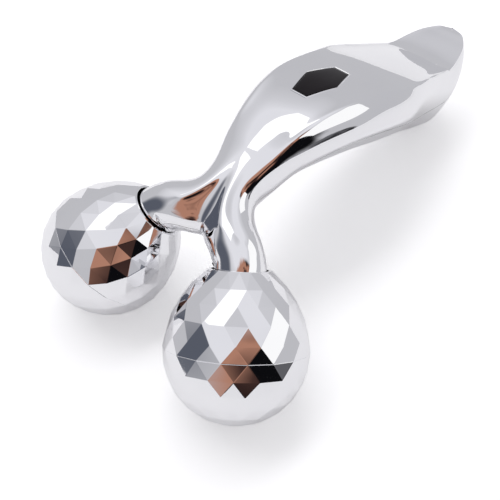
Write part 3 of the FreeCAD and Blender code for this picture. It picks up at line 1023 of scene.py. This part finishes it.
@dataclass
class Studio:
    """The camera, the floor, the lamp, the cards and the surroundings."""

    camera_place: tuple[float, float, float] = (-65.005, -90.469, 181.349)
    camera_aim: tuple[float, float, float] = (30.191, -5.652, 20.0)
    lens: float = 46.08
    sensor: float = 36.0
    clip_start: float = 0.01
    ambient: float = 0.62
    floor_colour: tuple[float, float, float] = (0.86, 0.855, 0.87)
    floor_roughness: float = 0.9
    floor_size: tuple[float, float] = (1.1, 0.54)
    floor_shift: float = 0.03
    floor_glow: float = 0.3
    mirrored_glow: float = 0.06
    lamp_front: Card = Card("softbox_front", (40.0, 0.0, 40.0), 80.0, 72.0, 0.9, (0.9, 0.28))
    lamp_energy: float = 3.4
    lamp_shine: float = 1.2
    dark_card: Card = Card("dark_card", (0.0, 0.0, 0.0), -117.0, 0.0, 0.42, (1.05, 1.0), foot=-0.2)
    dark_look: Mottling = Mottling(
        ((0.45, (0.004, 0.004, 0.005)), (0.53, (0.06, 0.03, 0.025)), (0.63, (0.45, 0.22, 0.15)))
    )
    low_card: Card = Card("low_card", (60.0, 0.0, 0.0), -74.0, 0.0, 0.5, (0.26, 0.18), foot=-0.14)
    low_look: Mottling = Mottling(
        ((0.42, (0.02, 0.02, 0.023)), (0.55, (0.05, 0.05, 0.055)), (0.7, (0.12, 0.12, 0.13)))
    )
    white_card: Card = Card("white_card", (60.0, 0.0, 60.0), -62.0, 26.0, 0.5, (0.5, 0.25))
    white_shine: float = 1.05
    sky_steps: tuple[tuple[float, float], ...] = (
        (0.0, 0.54), (0.5, 0.55), (0.66, 0.66), (0.72, 0.72), (0.78, 0.8), (0.95, 0.8), (1.0, 0.62),
    )
    sky_tint: float = 1.05
    ambient_tint: float = 1.02
    dusk_turn: float = 146.0
    dusk_rise: float = 16.0
    dusk_edge: tuple[float, float] = (0.84, 0.97)
    dusk_colour: tuple[float, float, float] = (0.1, 0.11, 0.14)

    def build(self) -> None:
        """Set up the stage."""
        self.camera()
        self.floor()
        self.softbox()
        self.dark_card.build(self.dark_look.material())
        self.low_card.build(self.low_look.material())
        self.white_card.build(self.white_material(self.white_shine))
        self.surroundings()

    def camera(self) -> None:
        """Place the camera at the photograph's view."""
        data = bpy.data.cameras.new("camera")
        data.lens = self.lens
        data.sensor_width = self.sensor
        data.clip_start = self.clip_start
        obj = bpy.data.objects.new("camera", data)
        bpy.context.scene.collection.objects.link(obj)
        place = PLACE.at(*self.camera_place)
        obj.location = place
        obj.rotation_euler = (PLACE.at(*self.camera_aim) - place).to_track_quat("-Z", "Y").to_euler()
        bpy.context.scene.camera = obj

    def floor(self) -> None:
        """Lay a pale floor under the part, white where nothing shades it."""
        Bench.clear()
        bpy.ops.mesh.primitive_plane_add(size=1.0)
        floor = bpy.context.object
        floor.name = "floor"
        floor.scale = (*self.floor_size, 1.0)
        floor.location.y = self.floor_shift
        made = bpy.data.materials.new("floor")
        made.use_nodes = True
        nodes, links = made.node_tree.nodes, made.node_tree.links
        shader = nodes["Principled BSDF"]
        shader.inputs["Base Color"].default_value = (*self.floor_colour, 1.0)
        shader.inputs["Roughness"].default_value = self.floor_roughness
        shader.inputs["Specular IOR Level"].default_value = 0.0
        shader.inputs["Emission Color"].default_value = (1.0, 1.0, 1.0, 1.0)
        path = nodes.new("ShaderNodeLightPath")
        mirrored = nodes.new("ShaderNodeMath")
        mirrored.operation = "MULTIPLY"
        mirrored.inputs[1].default_value = self.mirrored_glow
        links.new(path.outputs["Is Glossy Ray"], mirrored.inputs[0])
        glow = nodes.new("ShaderNodeMath")
        glow.operation = "MULTIPLY_ADD"
        glow.inputs[1].default_value = self.floor_glow
        links.new(path.outputs["Is Camera Ray"], glow.inputs[0])
        links.new(mirrored.outputs["Value"], glow.inputs[2])
        links.new(glow.outputs["Value"], shader.inputs["Emission Strength"])
        floor.data.materials.append(made)

    def softbox(self) -> None:
        """Hang one large soft lamp over the left side, with a white front for the plating to show."""
        data = bpy.data.lights.new("softbox", "AREA")
        data.shape = "RECTANGLE"
        data.size, data.size_y = self.lamp_front.size
        data.energy = self.lamp_energy
        obj = bpy.data.objects.new("softbox", data)
        bpy.context.scene.collection.objects.link(obj)
        obj.location = self.lamp_front.middle()
        obj.rotation_euler = self.lamp_front.way().to_track_quat("Z", "Y").to_euler()
        obj.visible_glossy = False
        self.lamp_front.build(self.white_material(self.lamp_shine))

    @staticmethod
    def white_material(shine: float) -> bpy.types.Material:
        """An even white glow of a given strength."""
        made = bpy.data.materials.new("white_card")
        made.use_nodes = True
        nodes, links = made.node_tree.nodes, made.node_tree.links
        nodes.remove(nodes["Principled BSDF"])
        glow = nodes.new("ShaderNodeEmission")
        glow.inputs["Strength"].default_value = shine
        links.new(glow.outputs["Emission"], nodes["Material Output"].inputs["Surface"])
        return made

    def surroundings(self) -> None:
        """Fill the world: soft light, a white backdrop, and a toned room for the plating to show."""
        world = bpy.data.worlds.new("world")
        bpy.context.scene.world = world
        world.use_nodes = True
        nodes, links = world.node_tree.nodes, world.node_tree.links
        path = nodes.new("ShaderNodeLightPath")
        shown = self.mix(world, path.outputs["Is Glossy Ray"])
        bluish = self.ambient * self.ambient_tint
        shown.inputs["A"].default_value = (self.ambient, self.ambient, bluish, 1.0)
        links.new(self.room(world), shown.inputs["B"])
        seen = self.mix(world, path.outputs["Is Camera Ray"])
        links.new(shown.outputs["Result"], seen.inputs["A"])
        seen.inputs["B"].default_value = (1.0, 1.0, 1.0, 1.0)
        links.new(seen.outputs["Result"], nodes["Background"].inputs["Color"])

    @staticmethod
    def mix(world: bpy.types.World, factor: bpy.types.NodeSocket) -> bpy.types.Node:
        """Add a colour mix to the world, led by a factor."""
        node = world.node_tree.nodes.new("ShaderNodeMix")
        node.data_type = "RGBA"
        world.node_tree.links.new(factor, node.inputs["Factor"])
        return node

    def room(self, world: bpy.types.World) -> bpy.types.NodeSocket:
        """The toned room: grey at the horizon, lighter overhead, and a dusky corner behind the left ball.

        Args:
            world: The world that it is built in.

        Returns:
            The socket with the room's colour.
        """
        nodes, links = world.node_tree.nodes, world.node_tree.links
        place = nodes.new("ShaderNodeTexCoord")
        parts = nodes.new("ShaderNodeSeparateXYZ")
        links.new(place.outputs["Generated"], parts.inputs["Vector"])
        ramp = nodes.new("ShaderNodeValToRGB")
        steps = ramp.color_ramp.elements
        steps[0].position, steps[1].position = self.sky_steps[0][0], self.sky_steps[-1][0]
        for where, _ in self.sky_steps[1:-1]:
            steps.new(where)
        for step, (_, level) in zip(steps, self.sky_steps):
            step.color = (level, level, level * self.sky_tint, 1.0)
        links.new(parts.outputs["Z"], ramp.inputs["Fac"])
        dusk = self.corner(world, PLACE.direction(self.dusk_turn, self.dusk_rise), self.dusk_edge)
        links.new(ramp.outputs["Color"], dusk.inputs["A"])
        dusk.inputs["B"].default_value = (*self.dusk_colour, 1.0)
        return dusk.outputs["Result"]

    @staticmethod
    def corner(world: bpy.types.World, way: Vector, edge: tuple[float, float]) -> bpy.types.Node:
        """Add a colour mix that changes to its second colour in one corner of the room.

        Args:
            world: The world that it is built in.
            way: The direction of the corner.
            edge: Cosines of the angles at which the corner's soft edge starts and ends.

        Returns:
            The colour mix.
        """
        nodes, links = world.node_tree.nodes, world.node_tree.links
        place = nodes.new("ShaderNodeTexCoord")
        dot = nodes.new("ShaderNodeVectorMath")
        dot.operation = "DOT_PRODUCT"
        links.new(place.outputs["Generated"], dot.inputs[0])
        dot.inputs[1].default_value = way
        near = nodes.new("ShaderNodeMapRange")
        near.interpolation_type = "SMOOTHSTEP"
        near.inputs["From Min"].default_value, near.inputs["From Max"].default_value = edge
        links.new(dot.outputs["Value"], near.inputs["Value"])
        return Studio.mix(world, near.outputs["Result"])


@dataclass
class Roller:
    """The whole part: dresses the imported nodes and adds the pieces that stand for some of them."""

    materials: dict[str, bpy.types.Material] = field(default_factory=dict)

    def dress_nodes(self) -> None:
        """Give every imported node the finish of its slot."""
        for entry in frame["record"]["subparts"]:
            node = frame["nodes"][entry["node"]]
            node.data.materials.clear()
            node.data.materials.append(self.materials[entry["material_slot"]])

    def add(self, piece: bpy.types.Object, body: str, slot: str, node: str | None = None) -> None:
        """Dress a new piece and hang it on its body.

        Args:
            piece: The piece.
            body: The body that it rides on.
            slot: The record's slot that it takes its finish from.
            node: The node that it stands for, if it does.
        """
        piece.data.materials.clear()
        piece.data.materials.append(self.materials[slot])
        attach(piece, body)
        if node:
            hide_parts(node)
        log.info("%s on %s, %d faces", piece.name, body, len(piece.data.polygons))

    def build(self) -> None:
        """Make and hang all pieces."""
        effects = Effects()
        self.materials = {finish.slot: finish.material(effects) for finish in FINISHES}
        self.dress_nodes()
        upper, lower = HandleSkin().build()
        self.add(upper, "handle", "handle_plating", "upper_shell")
        self.add(lower, "handle", "handle_plating", "lower_shell")
        pane, rim = SolarPane().build(upper)
        self.add(pane, "handle", "window", "solar_window")
        self.add(rim, "handle", "handle_plating")
        for side in Side:
            for shell, node in BallShell(side).build():
                self.add(shell, f"{side.value}_roller", "ball_plating", node)


def main() -> None:
    """Build the part's looks and its studio."""
    logging.basicConfig(level=logging.INFO, format="%(message)s")
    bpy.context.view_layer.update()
    bpy.context.scene.view_settings.view_transform = "Standard"
    Roller().build()
    Studio().build()


if __name__ == "__main__":
    main()
